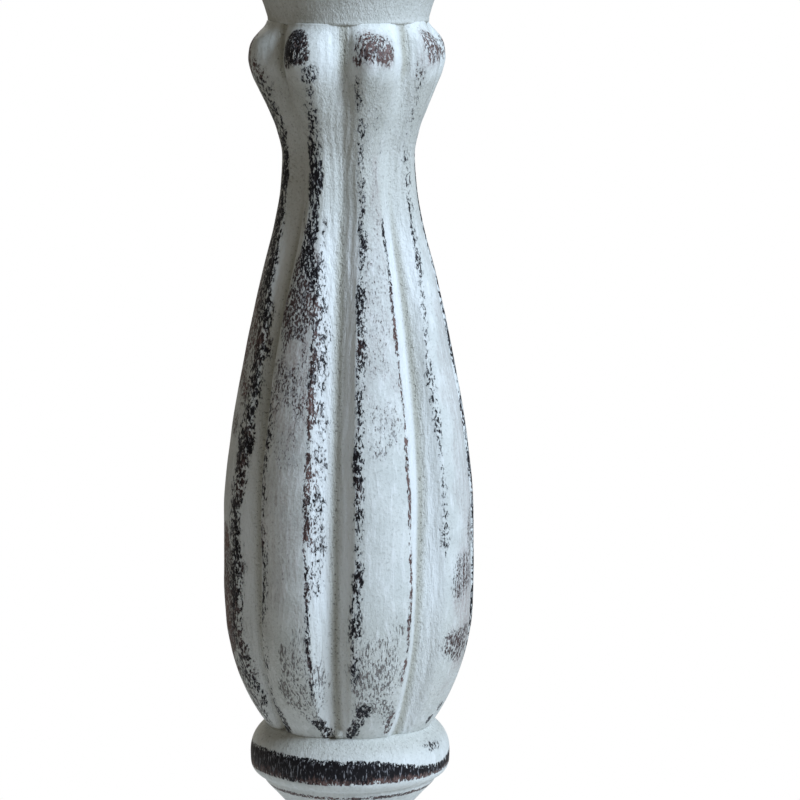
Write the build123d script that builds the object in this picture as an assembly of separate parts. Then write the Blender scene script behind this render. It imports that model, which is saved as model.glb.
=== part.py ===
from build123d import *
import math
import os

os.makedirs("parts", exist_ok=True)

# Wooden candlestick for a pillar candle, built up from turned pieces.
# Millimetres, +Z up, origin under the middle of the foot on the surface it stands on.

# Heights of the joint planes, from the bottom up
FELT_TOP = 1.5
FOOT_TOP = 35.5
PEDESTAL_TOP = 118.5
BALUSTER_HEIGHT = 250.0
BALUSTER_TOP = PEDESTAL_TOP + BALUSTER_HEIGHT
CUP_TOP = BALUSTER_TOP + 44.0
PAN_TOP = CUP_TOP + 18.0
PAN_FLOOR = PAN_TOP - 8.0

# Foot
FOOT_R = 75.0
FELT_R = 70.0
TENON_R = 15.0
TENON_LENGTH = 21.5
COUNTERBORE_R = 10.5
COUNTERBORE_TOP = 8.5

# Baluster
LOBES = 8
PITCH = 360 / LOBES
FIRST_LOBE = 15.0
NECK_R = 23.7
BELLY_R = 45.0
BALUSTER_CREST = (
    (0.0, 29.9), (4.0, 32.8), (10.0, 36.4), (20.0, 40.6), (35.0, 44.0), (55.0, BELLY_R),
    (78.0, 44.9), (105.0, 42.2), (135.0, 36.9), (160.0, 31.5), (180.0, 26.4), (200.0, NECK_R),
    (212.0, 25.6), (224.0, 30.3), (236.0, 34.6), (242.0, 34.0), (247.0, 30.0), (250.0, 27.9),
)

# Top
CUP_NECK_R = 27.9
PAN_R = 59.0
RECESS_R = 50.5
TRAY_THICK = 0.8
TRAY_FLOOR = PAN_FLOOR + TRAY_THICK
TRAY_RIM_HEIGHT = 6.8
SPIKE_R = 3.0
SPIKE_FLANGE_R = 8.0
SPIKE_FLANGE_THICK = 1.5
SPIKE_SHOULDER = TRAY_FLOOR + SPIKE_FLANGE_THICK
SPIKE_SHANK_TOP = SPIKE_SHOULDER + 15.2
SPIKE_TIP = PAN_TOP + 31.5
SPIKE_ROD_R = 2.5
SPIKE_ROD_LENGTH = 32.0

# Dowels and screws
PEDESTAL_DOWEL_R = 8.0
PEDESTAL_DOWEL_LENGTH = 48.0
CUP_DOWEL_R = 6.0
CUP_DOWEL_LENGTH = 38.0
DOWEL_CHAMFER = 1.0
GLUE_GAP = 0.05
END_GAP = 1.0
FOOT_SCREW_R = 2.5
FOOT_SCREW_HEAD_R = 4.7
FOOT_SCREW_HEAD = 3.2
FOOT_SCREW_LENGTH = 45.0
WASHER_R = 9.0
WASHER_THICK = 1.2
TRAY_SCREWS = 3
TRAY_SCREW_CIRCLE_R = 28.0
TRAY_SCREW_R = 1.75
TRAY_SCREW_HEAD_R = 3.6
TRAY_SCREW_LENGTH = 26.0


def at(radius, height):
    return Vector(radius, 0, height)


def line(*points):
    return Polyline([at(*p) for p in points])


def arc(start, middle, end):
    return ThreePointArc(at(*start), at(*middle), at(*end))


def curve(*points):
    return Spline([at(*p) for p in points])


def turned(*edges):
    """Revolve an outline that starts and ends on the axis."""
    outline = Wire([edge for part in edges for edge in part.edges()])
    return revolve(Face(outline), Axis.Z)


def round_bar(radius, bottom, top):
    return Pos(0, 0, bottom) * Cylinder(radius, top - bottom, align=(Align.CENTER, Align.CENTER, Align.MIN))


def cone(bottom_r, top_r, bottom, top):
    taper = Cone(bottom_r, top_r, top - bottom, align=(Align.CENTER, Align.CENTER, Align.MIN))
    return Pos(0, 0, bottom) * taper


def cross_recess(width, thickness, bottom, top):
    """Cross-shaped driver recess that opens at its top."""
    bar = Box(width, thickness, top - bottom, align=(Align.CENTER, Align.CENTER, Align.MIN))
    return Pos(0, 0, bottom) * (bar + Rot(0, 0, 90) * bar)


def on_screw_circle(shape):
    """One copy of a shape at each tray screw."""
    copies = []
    for number in range(TRAY_SCREWS):
        angle = 90 + number * 360 / TRAY_SCREWS
        copies.append(Rot(0, 0, angle) * Pos(TRAY_SCREW_CIRCLE_R, 0, 0) * shape)
    return copies


# ---- foot ----

def foot_felt():
    return round_bar(FELT_R, 0, FELT_TOP)


def foot_disc():
    body = turned(
        line((0, FELT_TOP), (72, FELT_TOP)),
        arc((72, FELT_TOP), (FOOT_R, 8.5), (72, 15.5)),
        line((72, 15.5), (70, 15.5), (70, 18)),
        curve((70, 18), (64.5, 19.4), (60, 23.5), (56, 29), (50.5, 32.5)),
        line((50.5, 32.5), (47.5, 32.5), (47.5, FOOT_TOP), (0, FOOT_TOP), (0, FELT_TOP)),
    )
    socket = round_bar(TENON_R + GLUE_GAP, FOOT_TOP - TENON_LENGTH - 0.5, FOOT_TOP)
    counterbore = round_bar(COUNTERBORE_R, FELT_TOP, COUNTERBORE_TOP)
    screw_hole = round_bar(FOOT_SCREW_R + 0.25, FELT_TOP, FOOT_TOP)
    return body - socket - counterbore - screw_hole


def foot_washer():
    bottom = COUNTERBORE_TOP - WASHER_THICK
    hole = round_bar(FOOT_SCREW_R + 0.25, bottom, COUNTERBORE_TOP)
    return round_bar(WASHER_R, bottom, COUNTERBORE_TOP) - hole


def foot_screw():
    seat = COUNTERBORE_TOP - WASHER_THICK
    point = seat + FOOT_SCREW_LENGTH
    head = round_bar(FOOT_SCREW_HEAD_R, seat - FOOT_SCREW_HEAD, seat)
    head = fillet(head.edges().sort_by(Axis.Z)[0], 1.2)
    shank = round_bar(FOOT_SCREW_R, seat, point - 5) + cone(FOOT_SCREW_R, 0.3, point - 5, point)
    recess = cross_recess(5.2, 1.1, seat - FOOT_SCREW_HEAD, seat - 1)
    return head + shank - recess


# ---- pedestal ----

def pedestal_spindle():
    tenon_end = FOOT_TOP - TENON_LENGTH
    body = turned(
        line((0, tenon_end), (TENON_R - 1, tenon_end), (TENON_R, tenon_end + 1), (TENON_R, FOOT_TOP),
             (43, FOOT_TOP), (43, 38)),
        curve((43, 38), (37, 39.6), (33.2, 43), (32, 47)),
        line((32, 47), (33, 47)),
        arc((33, 47), (37.5, 51.5), (33, 56)),
        line((33, 56), (30, 56), (30, 58)),
        curve((30, 58), (23.5, 62), (18.8, 69), (17.6, 77), (20, 85.5), (25.2, 92), (30.6, 97.8)),
        line((30.6, 97.8), (30.8, 99.6), (32.5, 100.1)),
        arc((32.5, 100.1), (34.8, 102), (35.6, 104.8)),
        line((35.6, 104.8), (35.6, 109.8)),
        arc((35.6, 109.8), (33.9, 114.6), (29.9, PEDESTAL_TOP)),
        line((29.9, PEDESTAL_TOP), (0, PEDESTAL_TOP), (0, tenon_end)),
    )
    half_dowel = PEDESTAL_DOWEL_LENGTH / 2 + END_GAP
    socket = round_bar(PEDESTAL_DOWEL_R + GLUE_GAP, PEDESTAL_TOP - half_dowel, PEDESTAL_TOP)
    screw_end = COUNTERBORE_TOP - WASHER_THICK + FOOT_SCREW_LENGTH
    pilot = round_bar(FOOT_SCREW_R + GLUE_GAP, tenon_end, screw_end + END_GAP)
    return body - socket - pilot


def dowel(radius, length, middle):
    body = round_bar(radius, middle - length / 2, middle + length / 2)
    return chamfer(body.edges().filter_by(GeomType.CIRCLE), DOWEL_CHAMFER)


# ---- baluster ----

def lobed_section(height, crest):
    """Cross-section of eight lobes: each a gently crowned face, two arrises and two sloping sides."""
    face_half = 8.5 + 4.5 * (crest - NECK_R) / (BELLY_R - NECK_R)
    from_end = min(height, BALUSTER_HEIGHT - height)
    groove = crest - 0.11 * crest * min(1, 0.55 + from_end / 40)
    plane_z = PEDESTAL_TOP + height

    def point(radius, degrees):
        turn = math.radians(degrees)
        return Vector(radius * math.cos(turn), radius * math.sin(turn), plane_z)

    edges = []
    for number in range(LOBES):
        middle = -90 + FIRST_LOBE + number * PITCH
        left = point(0.985 * crest, middle - face_half)
        right = point(0.985 * crest, middle + face_half)
        edges.append(Line(point(groove, middle - PITCH / 2), left))
        edges.append(ThreePointArc(left, point(crest, middle), right))
        edges.append(Line(right, point(groove, middle + PITCH / 2)))
    return Face(Wire(edges))


def fluted_baluster():
    body = loft([lobed_section(height, crest) for height, crest in BALUSTER_CREST])
    half_lower = PEDESTAL_DOWEL_LENGTH / 2 + END_GAP
    half_upper = CUP_DOWEL_LENGTH / 2 + END_GAP
    lower = round_bar(PEDESTAL_DOWEL_R + GLUE_GAP, PEDESTAL_TOP, PEDESTAL_TOP + half_lower)
    upper = round_bar(CUP_DOWEL_R + GLUE_GAP, BALUSTER_TOP - half_upper, BALUSTER_TOP)
    return body - lower - upper


# ---- cup, pan and tray ----

def candle_cup():
    z = BALUSTER_TOP
    body = turned(
        line((0, z), (CUP_NECK_R, z)),
        curve((CUP_NECK_R, z), (30.1, z + 7), (34.4, z + 15.5), (41, z + 24), (48.5, z + 31)),
        line((48.5, z + 31), (50.5, z + 31)),
        arc((50.5, z + 31), (54, z + 34.5), (50.5, z + 38)),
        line((50.5, z + 38), (49, z + 38), (49, CUP_TOP), (0, CUP_TOP), (0, z)),
    )
    half_dowel = CUP_DOWEL_LENGTH / 2 + END_GAP
    socket = round_bar(CUP_DOWEL_R + GLUE_GAP, z, z + half_dowel)
    rod_hole = round_bar(SPIKE_ROD_R + GLUE_GAP, TRAY_FLOOR - SPIKE_ROD_LENGTH - END_GAP, CUP_TOP)
    screw_end = TRAY_FLOOR - TRAY_SCREW_LENGTH
    pilots = on_screw_circle(round_bar(TRAY_SCREW_R + GLUE_GAP, screw_end - END_GAP, CUP_TOP))
    return body - socket - rod_hole - pilots


def drip_pan():
    z = CUP_TOP
    body = turned(
        line((0, z), (52, z), (52, z + 1.5)),
        curve((52, z + 1.5), (54.8, z + 2.6), (56, z + 5.5), (56.4, z + 8)),
        line((56.4, z + 8), (57, z + 8)),
        arc((57, z + 8), (PAN_R, z + 12.5), (57, z + 17)),
        arc((57, z + 17), (54.5, PAN_TOP), (52, z + 17)),
        line((52, z + 17), (RECESS_R, z + 16.2), (RECESS_R, PAN_FLOOR), (0, PAN_FLOOR), (0, z)),
    )
    rod_hole = round_bar(SPIKE_ROD_R + 0.25, z, PAN_FLOOR)
    screw_hole = round_bar(TRAY_SCREW_R + GLUE_GAP, z, PAN_FLOOR)
    sink_r = TRAY_SCREW_HEAD_R - TRAY_THICK + GLUE_GAP
    sink_depth = sink_r - TRAY_SCREW_R - GLUE_GAP
    sink = cone(TRAY_SCREW_R + GLUE_GAP, sink_r, PAN_FLOOR - sink_depth, PAN_FLOOR)
    return body - rod_hole - on_screw_circle(screw_hole + sink)


def drip_tray():
    outer = RECESS_R - 0.4
    rim_top = PAN_FLOOR + TRAY_RIM_HEIGHT
    corner = 2.0
    inner = outer - TRAY_THICK
    lean = 0.293
    body = turned(
        line((0, PAN_FLOOR), (outer - corner, PAN_FLOOR)),
        arc((outer - corner, PAN_FLOOR), (outer - lean * corner, PAN_FLOOR + lean * corner),
            (outer, PAN_FLOOR + corner)),
        line((outer, PAN_FLOOR + corner), (outer, rim_top), (inner, rim_top), (inner, PAN_FLOOR + corner)),
        arc((inner, PAN_FLOOR + corner),
            (inner - lean * (corner - TRAY_THICK), TRAY_FLOOR + lean * (corner - TRAY_THICK)),
            (outer - corner, TRAY_FLOOR)),
        line((outer - corner, TRAY_FLOOR), (0, TRAY_FLOOR), (0, PAN_FLOOR)),
    )
    rod_hole = round_bar(SPIKE_ROD_R + 0.25, PAN_FLOOR, TRAY_FLOOR)
    hole_top = TRAY_SCREW_HEAD_R + GLUE_GAP
    screw_hole = cone(hole_top - TRAY_THICK, hole_top, PAN_FLOOR, TRAY_FLOOR)
    return body - rod_hole - on_screw_circle(screw_hole)


def pricket_spike():
    rod_end = TRAY_FLOOR - SPIKE_ROD_LENGTH
    rod = cone(0.4, SPIKE_ROD_R, rod_end, rod_end + 4) + round_bar(SPIKE_ROD_R, rod_end + 4, TRAY_FLOOR)
    flange = round_bar(SPIKE_FLANGE_R, TRAY_FLOOR, SPIKE_SHOULDER)
    flange = chamfer(flange.edges().sort_by(Axis.Z)[-1], 0.5)
    shank = round_bar(SPIKE_R, SPIKE_SHOULDER, SPIKE_SHANK_TOP)
    point = cone(SPIKE_R, 0.35, SPIKE_SHANK_TOP, SPIKE_TIP)
    return rod + flange + shank + point


def tray_screws():
    screw_end = TRAY_FLOOR - TRAY_SCREW_LENGTH
    head_depth = TRAY_SCREW_HEAD_R - TRAY_SCREW_R
    head = cone(TRAY_SCREW_R, TRAY_SCREW_HEAD_R, TRAY_FLOOR - head_depth, TRAY_FLOOR)
    shank = round_bar(TRAY_SCREW_R, screw_end + 4, TRAY_FLOOR - head_depth)
    point = cone(0.25, TRAY_SCREW_R, screw_end, screw_end + 4)
    recess = cross_recess(3.6, 0.8, TRAY_FLOOR - 1.4, TRAY_FLOOR)
    return Compound(on_screw_circle(head + shank + point - recess))


NODES = {
    "foot_felt": foot_felt(),
    "foot_disc": foot_disc(),
    "foot_washer": foot_washer(),
    "foot_screw": foot_screw(),
    "pedestal_spindle": pedestal_spindle(),
    "pedestal_dowel": dowel(PEDESTAL_DOWEL_R, PEDESTAL_DOWEL_LENGTH, PEDESTAL_TOP),
    "fluted_baluster": fluted_baluster(),
    "cup_dowel": dowel(CUP_DOWEL_R, CUP_DOWEL_LENGTH, BALUSTER_TOP),
    "candle_cup": candle_cup(),
    "drip_pan": drip_pan(),
    "drip_tray": drip_tray(),
    "tray_screws": tray_screws(),
    "pricket_spike": pricket_spike(),
}

for node, shape in NODES.items():
    export_step(shape, f"parts/{node}.step")
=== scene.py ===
import math
from types import SimpleNamespace

import bpy
import numpy as np
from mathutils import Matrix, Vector


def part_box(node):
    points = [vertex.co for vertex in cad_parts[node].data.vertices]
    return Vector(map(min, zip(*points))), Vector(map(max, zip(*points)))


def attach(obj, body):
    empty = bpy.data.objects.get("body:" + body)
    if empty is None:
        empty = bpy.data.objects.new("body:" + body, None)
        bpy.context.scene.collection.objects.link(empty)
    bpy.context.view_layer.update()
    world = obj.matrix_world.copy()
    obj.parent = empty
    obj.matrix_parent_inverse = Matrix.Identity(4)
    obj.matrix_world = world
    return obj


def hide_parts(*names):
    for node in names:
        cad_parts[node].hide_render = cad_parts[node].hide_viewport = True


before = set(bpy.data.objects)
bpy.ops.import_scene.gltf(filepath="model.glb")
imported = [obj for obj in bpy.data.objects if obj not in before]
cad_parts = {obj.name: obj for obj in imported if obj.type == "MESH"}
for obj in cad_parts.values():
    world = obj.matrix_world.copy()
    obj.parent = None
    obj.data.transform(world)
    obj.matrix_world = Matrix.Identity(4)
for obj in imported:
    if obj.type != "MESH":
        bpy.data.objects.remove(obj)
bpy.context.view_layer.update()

# Lengths are written in millimetres and multiplied by MM where Blender needs metres. The photographed
# front faces FRONT, in degrees round the object.
MM = 0.001
FRONT = -90

# ---- places taken from the CAD ----

BALUSTER_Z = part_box("fluted_baluster")[0].z / MM
BALUSTER_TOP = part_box("fluted_baluster")[1].z / MM
CUP_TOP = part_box("candle_cup")[1].z / MM
PAN_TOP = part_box("drip_pan")[1].z / MM
TRAY_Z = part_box("drip_tray")[0].z / MM
FOOT_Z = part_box("foot_disc")[0].z / MM
FOOT_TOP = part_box("foot_disc")[1].z / MM
SPIKE_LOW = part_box("pricket_spike")[0].z / MM
SPIKE_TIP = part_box("pricket_spike")[1].z / MM
HEIGHT = BALUSTER_TOP - BALUSTER_Z

# ---- hidden holes, sockets and tenon, sized as in the CAD ----

PILOT_R = 2.55
CLEARANCE_R = 2.75
LOW_SOCKET_R = 8.05
LOW_SOCKET_DEPTH = 25
TOP_SOCKET_R = 6.05
TOP_SOCKET_DEPTH = 20
TENON_R = 15
TENON_END = FOOT_TOP - 21.5
MORTISE_R = 15.05
MORTISE_END = FOOT_TOP - 22

# ---- camera ----

CAMERA_DISTANCE = 1290
CAMERA_Z = BALUSTER_Z + 315
CAMERA_X = 18
AIM_HEIGHT = 116
LENS = 166.0

# ---- light ----

LAMP_AIM_Z = BALUSTER_Z + 130
LAMP_DISTANCE = 1400
LAMP_SIZE = 700
KEY_AZIMUTH = 53.5
KEY_ELEVATION = 33
KEY_POWER = 22
KEY_COLOUR = (0.81, 0.98, 1.20)
BACK_AZIMUTH = 186
BACK_ELEVATION = 35
BACK_POWER = 12
BACK_COLOUR = (1.0, 0.98, 0.95)
FILL_COLOUR = (1.0, 0.945, 0.84)
FILL_STRENGTH = 0.17

# ---- carved body, with heights above its lower end ----

LOBES = 8
PITCH = 360 / LOBES
FIRST_LOBE = 15.0
NECK_R = 23.7
BELLY_R = 45.0
HEAD_Z = 241
GROOVE_DEPTH = 0.132
ARRIS_SHARE = 0.984
PILLOW_DEPTH = 0.18
SLOPE_COLUMNS = 12
FACE_COLUMNS = 16
BODY_ROWS = 290

# Radius over the lobes, by height.
CREST = (
    (0, 29.9), (2, 31.4), (4, 32.8), (7, 34.7), (10, 36.4), (14.5, 38.5), (20, 40.6), (28, 42.8),
    (38, 44.4), (55, BELLY_R), (78, 44.9), (105, 42.2), (135, 36.9), (160, 31.5), (180, 26.4),
    (192, 24.4), (203, NECK_R), (212, 25.5), (219, 28.2), (226, 31.3), (232, 33.8), (237, 34.8),
    (241, 34.4), (243.5, 33.4), (246, 31.3), (248, 29.3), (249.2, 28.5), (250, 28.3),
)

# The front lobes' left and right arrises by height, in degrees to the right of front. The carver
# set them out by eye, so they wander; the lobes behind keep to an even pitch.
LOBE_EDGES = {
    1: ((0, 46, 75), (60, 50, 77.5), (130, 49, 77), (190, 59, 80), (235, 51, 74)),
    0: ((0, 1, 26), (60, 3.2, 29.5), (130, 5.4, 28.7), (190, 10, 28), (235, 6, 29)),
    7: ((0, -46, -18), (60, -42.4, -19.2), (130, -43.2, -19.4), (190, -36, -22), (235, -40, -19)),
    6: ((0, -86, -60), (60, -88, -63.5), (130, -86, -57.5), (190, -84, -67), (235, -84, -61)),
}
# Grooves to the right of lobes 6, 7 and 0, in the same way.
GROOVE_LINES = {
    0: ((0, 36), (60, 39.3), (130, 42.5), (190, 43), (235, 43)),
    7: ((0, -7), (60, -6.6), (130, -5.6), (190, -5), (235, -2.8)),
    6: ((0, -53), (60, -53), (130, -52), (190, -46.5), (235, -51)),
}
# Heads of lobes that stand out from the others.
PROUD_HEADS = {6: 0.9, 7: 0.2, 3: 0.4}

# Where the paint is worn on the four lobes in front (6, 7, 0 and 1, from left to right): kind, height,
# reach up and down, place across (-1 left arris, 1 right arris), reach across, strength. A "whole"
# mark is a place in the wear where the paint is left.
WEAR_MARKS = {
    6: (
        ("rub", 239, 8, -0.5, 0.7, 1.2), ("chip", 217, 20, 0.5, 0.9, 0.60),
        ("rub", 190, 38, -0.2, 1.1, 0.55), ("chip", 165, 34, 0.3, 1.0, 0.50),
        ("rub", 153, 44, -0.4, 1.3, 0.75), ("chip", 120, 80, 0.75, 0.35, 0.44),
        ("haze", 105, 95, -0.5, 1.3, 0.30), ("rub", 88, 40, -0.5, 1.2, 0.12),
        ("rub", 48, 26, -0.1, 1.2, 1.0), ("chip", 15, 14, 0.6, 0.8, 0.6),
    ),
    7: (
        ("rub", 241.3, 5.8, -0.3, 0.85, 2.4), ("chip", 241.3, 5.8, -0.4, 0.85, 1.3),
        ("chip", 233, 4, 0.7, 0.6, 0.55), ("chip", 221, 10, 0.6, 0.40, 0.50),
        ("chip", 212, 20, 0.0, 1.2, 0.27), ("chip", 209, 9, 0.65, 0.45, 0.46),
        ("chip", 187, 28, 0.15, 0.80, 1.4), ("rub", 160, 26, -0.1, 1.15, 0.80),
        ("haze", 140, 45, 0.2, 1.2, 0.7), ("chip", 140, 52, 1.35, 0.5, 0.42),
        ("whole", 137.5, 4.6, 0.05, 0.42, 1.0), ("rub", 135, 26, -0.1, 1.1, 0.52),
        ("rub", 105, 12, 0.0, 1.0, 0.32), ("haze", 80, 40, 0.0, 1.2, 0.45),
        ("chip", 80, 26, 1.4, 0.4, 0.42), ("rub", 75, 30, -0.3, 1.0, 0.25),
        ("hatch", 24, 20, 0.6, 1.1, 0.60), ("chip", 6, 7, -1.0, 0.35, 0.8),
        ("chip", 5, 3, 1.05, 0.35, 0.9), ("chip", 2, 3, 1.35, 0.35, 1.2),
    ),
    0: (
        ("chip", 241.5, 6, -0.8, 0.5, 0.6), ("rub", 241.2, 6, 0.05, 0.95, 0.78),
        ("haze", 241, 7, 0.0, 1.0, 0.9), ("chip", 226, 8, -0.95, 0.25, 0.56),
        ("chip", 212, 20, 0.2, 1.5, 0.26), ("chip", 211, 10, -0.75, 0.4, 0.42),
        ("chip", 193, 22, -0.85, 0.45, 0.46), ("haze", 186, 24, 0.5, 0.6, 0.5),
        ("rub", 186, 22, 0.4, 0.5, 0.30), ("haze", 150, 34, 0.1, 1.1, 0.45),
        ("rub", 150, 36, 0.0, 1.0, 0.30), ("rub", 112, 12, 0.1, 1.0, 0.36),
        ("hatch", 24, 22, -0.1, 1.2, 0.68), ("chip", 11.5, 2.6, -0.45, 0.34, 2.0),
        ("chip", 7, 2.2, -0.68, 0.3, 1.3), ("chip", 6, 5, 0.95, 0.25, 0.7),
        ("chip", 3, 2.4, -0.9, 0.34, 1.3),
    ),
    1: (
        ("rub", 241, 6.5, 0.0, 0.8, 0.62), ("haze", 240.5, 7.5, 0.0, 1.0, 0.8),
        ("chip", 228, 10, -0.95, 0.25, 0.38), ("chip", 210, 20, -0.6, 1.2, 0.25),
        ("haze", 100, 75, 0.4, 0.9, 0.5), ("rub", 70, 16, 0.7, 0.4, 0.40),
        ("rub", 57, 9, 0.0, 0.9, 0.50), ("haze", 44, 26, 0.3, 0.9, 0.8),
        ("rub", 33, 7, -0.1, 0.9, 0.62), ("chip", 9, 2.0, 0.2, 0.16, 1.2),
        ("chip", 4.5, 1.8, -0.15, 0.14, 1.4),
    ),
}

# Wear along each lobe's left and right arris: strength of a thin line, strength of the flecks
# scattered about it, and the heights between which it runs.
ARRIS_WEAR = {
    6: ((0.15, 0.60, 20, 205), (0.22, 0.95, 24, 205)),
    7: ((0.20, 0.50, 12, 125), (0.72, 0.16, 14, 162)),
    0: ((0.25, 0.60, 20, 178), (0.80, 0.10, 18, 185)),
    1: ((0.15, 0.38, 62, 200), (0.30, 0.20, 30, 200)),
}
PLAIN_ARRIS = ((0.35, 0.52, 15, 208), (0.40, 0.40, 15, 208))

# ---- pedestal ----

BEAD_Z = 51.5
BAND_Z = BALUSTER_Z - 10.7


# ---- shapes ----

def smooth_curve(points, at):
    """Curve through (x, y) points that never overshoots them."""
    x = np.array([p[0] for p in points], float)
    y = np.array([p[1] for p in points], float)
    step = np.diff(x)
    rise = np.diff(y) / step
    slope = np.zeros_like(y)
    same = rise[1:] * rise[:-1] > 0
    slope[1:-1][same] = 2 * rise[1:][same] * rise[:-1][same] / (rise[1:] + rise[:-1])[same]
    slope[0], slope[-1] = rise[0], rise[-1]
    part = np.clip(np.searchsorted(x, at, side="right") - 1, 0, len(step) - 1)
    t = (at - x[part]) / step[part]
    low = y[part] + t * t * (3 - 2 * t) * (y[part + 1] - y[part])
    return low + step[part] * t * (1 - t) * ((1 - t) * slope[part] - t * slope[part + 1])


def bell(distance, reach):
    """1 at no distance, falling smoothly to 0 at about twice the reach."""
    return np.exp(-(distance / reach) ** 2)


def ramp_up(value, low, high):
    """0 below low and 1 above high, with a smooth rise between."""
    t = np.clip((value - low) / (high - low), 0, 1)
    return t * t * (3 - 2 * t)


def undulation(angle, height, size, seed):
    """Slow hand-made unevenness round a piece, as a length."""
    rng = np.random.default_rng(seed)
    total = np.zeros(np.broadcast(angle, height).shape)
    for turns in (1, 2, 3, 5, 8, 13):
        phase = rng.uniform(0, 2 * math.pi, 3)
        rate = rng.uniform(0.03, 0.12)
        wave = np.sin(turns * angle + phase[0] + 1.5 * np.sin(rate * height + phase[1]))
        total += wave * np.cos(0.6 * rate * height * turns + phase[2]) / turns ** 0.5
    return size * total / 2


def around_axis(radius, angle, height):
    """Points at a radius, angle and height, each a number or an array."""
    radius, angle, height = np.broadcast_arrays(radius, angle, height)
    return np.stack([radius * np.cos(angle), radius * np.sin(angle), height], axis=-1)


def full_turn(around):
    return np.linspace(0, 2 * math.pi, around, endpoint=False)


def skin(name, rings, closed=False, marks=None):
    """Mesh over rings of points, in order from the bottom of a piece outwards and up. The ends run
    to a point on the axis, or the last ring joins the first if closed."""
    count, around = rings.shape[:2]
    points = rings.reshape(-1, 3)
    index = np.arange(count * around).reshape(count, around)
    lower = index if closed else index[:-1]
    upper = np.roll(index, -1, axis=0) if closed else index[1:]
    quads = np.stack([lower, np.roll(lower, -1, axis=1), np.roll(upper, -1, axis=1), upper], axis=-1)
    faces = quads.reshape(-1, 4).tolist()
    if not closed:
        bottom = len(points)
        poles = [[0, 0, rings[0, :, 2].mean()], [0, 0, rings[-1, :, 2].mean()]]
        points = np.vstack([points, poles])
        for column in range(around):
            after = (column + 1) % around
            faces.append([bottom, index[0, after], index[0, column]])
            faces.append([bottom + 1, index[-1, column], index[-1, after]])
    mesh = bpy.data.meshes.new(name)
    mesh.from_pydata((points * MM).tolist(), [], [[int(i) for i in face] for face in faces])
    mesh.polygons.foreach_set("use_smooth", [True] * len(mesh.polygons))
    for mark, values in (marks or {}).items():
        layer = mesh.attributes.new(mark, "FLOAT", "POINT")
        flat = np.zeros(len(points), np.float32)
        flat[:count * around] = values.reshape(-1)
        layer.data.foreach_set("value", flat)
    mesh.validate()
    piece = bpy.data.objects.new(name, mesh)
    bpy.context.scene.collection.objects.link(piece)
    return piece


def arc(start, middle, end, steps=12):
    """Points of the circle through three points of an outline, without the last."""
    (ax, ay), (bx, by), (cx, cy) = start, middle, end
    d = 2 * (ax * (by - cy) + bx * (cy - ay) + cx * (ay - by))
    sa, sb, sc = ax * ax + ay * ay, bx * bx + by * by, cx * cx + cy * cy
    ox = (sa * (by - cy) + sb * (cy - ay) + sc * (ay - by)) / d
    oy = (sa * (cx - bx) + sb * (ax - cx) + sc * (bx - ax)) / d
    first = math.atan2(ay - oy, ax - ox)
    turn = (math.atan2(cy - oy, cx - ox) - first) % (2 * math.pi)
    through = (math.atan2(by - oy, bx - ox) - first) % (2 * math.pi)
    if through > turn:
        turn -= 2 * math.pi
    radius = math.hypot(ax - ox, ay - oy)
    angles = first + turn * np.arange(steps) / steps
    return [(ox + radius * math.cos(a), oy + radius * math.sin(a)) for a in angles]


def flow(*points, steps=8):
    """Smooth stretch of an outline through points, without the last."""
    spots = np.array(points, float)
    padded = np.vstack([2 * spots[0] - spots[1], spots, 2 * spots[-1] - spots[-2]])
    found = []
    for i in range(len(spots) - 1):
        a, b, c, d = padded[i:i + 4]
        for t in np.arange(steps) / steps:
            curve = 2 * b + (c - a) * t + (2 * a - 5 * b + 4 * c - d) * t * t
            curve = curve + (3 * b - a - 3 * c + d) * t ** 3
            found.append(tuple(curve / 2))
    return found


def even_steps(outline, step, rounding):
    """Outline with points every step, its corners eased over about the rounding."""
    spots = np.array(outline, float)
    run = np.concatenate([[0], np.cumsum(np.hypot(*np.diff(spots, axis=0).T))])
    at = np.linspace(0, run[-1], max(2, int(run[-1] / step)))
    even = np.stack([np.interp(at, run, spots[:, 0]), np.interp(at, run, spots[:, 1])], axis=1)
    passes = max(1, int(rounding / step * 2))
    for _ in range(passes):
        even[1:-1] = 0.25 * even[:-2] + 0.5 * even[1:-1] + 0.25 * even[2:]
    return even


def edge_wear(outline, reach):
    """How much an outline's convex corners stand proud, from 0 to about 1."""
    ahead = np.diff(outline, axis=0)
    heading = np.unwrap(np.arctan2(ahead[:, 1], ahead[:, 0]))
    turning = np.concatenate([[0], np.diff(heading), [0]])
    run = np.concatenate([[0], np.cumsum(np.hypot(ahead[:, 0], ahead[:, 1]))])
    weights = bell(run[:, None] - run[None, :], reach)
    return np.clip(weights @ turning, 0, 1.2)


# ---- carved body ----

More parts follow.
